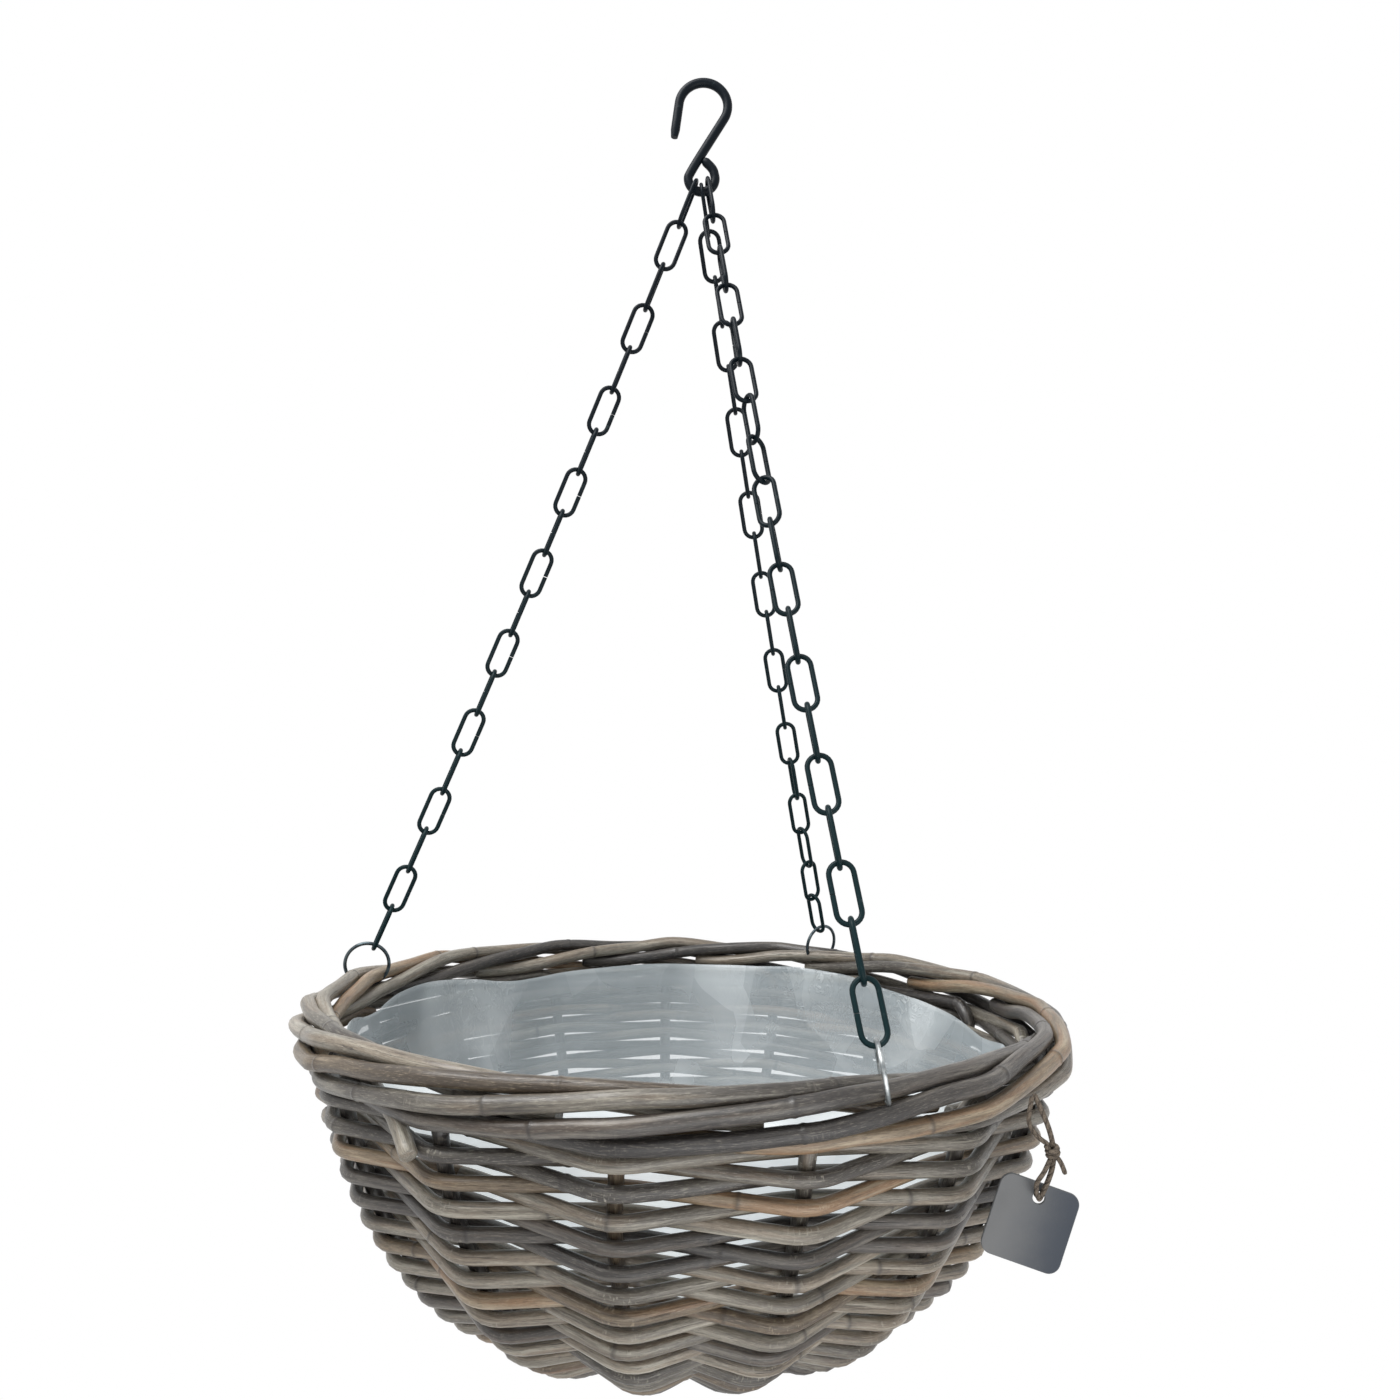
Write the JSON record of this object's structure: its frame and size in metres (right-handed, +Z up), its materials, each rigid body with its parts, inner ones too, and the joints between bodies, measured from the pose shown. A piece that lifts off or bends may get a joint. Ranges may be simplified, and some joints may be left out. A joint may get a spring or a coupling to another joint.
{
  "type": "hanging basket",
  "caption": "Round woven rattan hanging basket with a film liner, hung on chains from one wire hook, with a blank square tag on a twine.",
  "frame": {"origin": "the highest inner point of the hook's crown, where the hook bears on what it hangs from", "axes": "+Z up along the basket's axis, +X to the right and +Y away from the viewer of the picture, the hook in the XZ plane with its open side towards -X"},
  "size_m": [0.3908, 0.3917, 0.6561],
  "materials": {
    "green_black_paint": "dark green-black paint over steel wire, satin",
    "zinc_wire": "dark dull zinc-plated wire",
    "grey_cane": "unpeeled rattan, weathered grey-brown, dry",
    "clear_film": "thin crinkled clear film",
    "tag_metal": "blue-grey metal, semi-gloss",
    "twine": "dark brown natural twine"
  },
  "bodies": {
    "hook": {"hook": "green_black_paint"},
    "basket": {"left_chain_top_link": "green_black_paint", "left_chain": "green_black_paint", "left_chain_bottom_link": "green_black_paint", "left_ring": "zinc_wire", "back_chain_top_link": "green_black_paint", "back_chain": "green_black_paint", "back_chain_bottom_link": "green_black_paint", "back_ring": "zinc_wire", "front_chain_top_link": "green_black_paint", "front_chain": "green_black_paint", "front_chain_bottom_link": "green_black_paint", "front_ring": "zinc_wire", "weaver_01": "grey_cane", "weaver_02": "grey_cane", "weaver_03": "grey_cane", "weaver_04": "grey_cane", "weaver_05": "grey_cane", "weaver_06": "grey_cane", "weaver_07": "grey_cane", "weaver_08": "grey_cane", "weaver_09": "grey_cane", "weaver_10": "grey_cane", "weaver_11": "grey_cane", "weaver_12": "grey_cane", "weaver_13": "grey_cane", "weaver_14": "grey_cane", "weaver_15": "grey_cane", "weaver_16": "grey_cane", "stake_01": "grey_cane", "stake_02": "grey_cane", "stake_03": "grey_cane", "stake_04": "grey_cane", "stake_05": "grey_cane", "stake_06": "grey_cane", "stake_07": "grey_cane", "stake_08": "grey_cane", "stake_09": "grey_cane", "stake_10": "grey_cane", "stake_11": "grey_cane", "stake_12": "grey_cane", "stake_13": "grey_cane", "stake_14": "grey_cane", "stake_15": "grey_cane", "base": "grey_cane", "liner": "clear_film"},
    "twine": {"tag_twine": "twine"},
    "tag": {"tag": "tag_metal"}
  },
  "joints": [
    {"name": "basket_swing", "type": "hinge", "parent": "hook", "child": "basket", "pos_m": [0, 0, -0.0585], "axis": [1, 0, 0], "range_deg": [-25, 25]},
    {"name": "twine_swing", "type": "hinge", "parent": "basket", "child": "twine", "pos_m": [0.1472, -0.1305, -0.50171], "axis": [0.7547, -0.6561, 0], "range_deg": [-15, 15]},
    {"name": "tag_tilt", "type": "hinge", "parent": "twine", "child": "tag", "pos_m": [0.1489, -0.1315, -0.54311], "axis": [1, 0, 0], "range_deg": [-45, 15]}
  ]
}
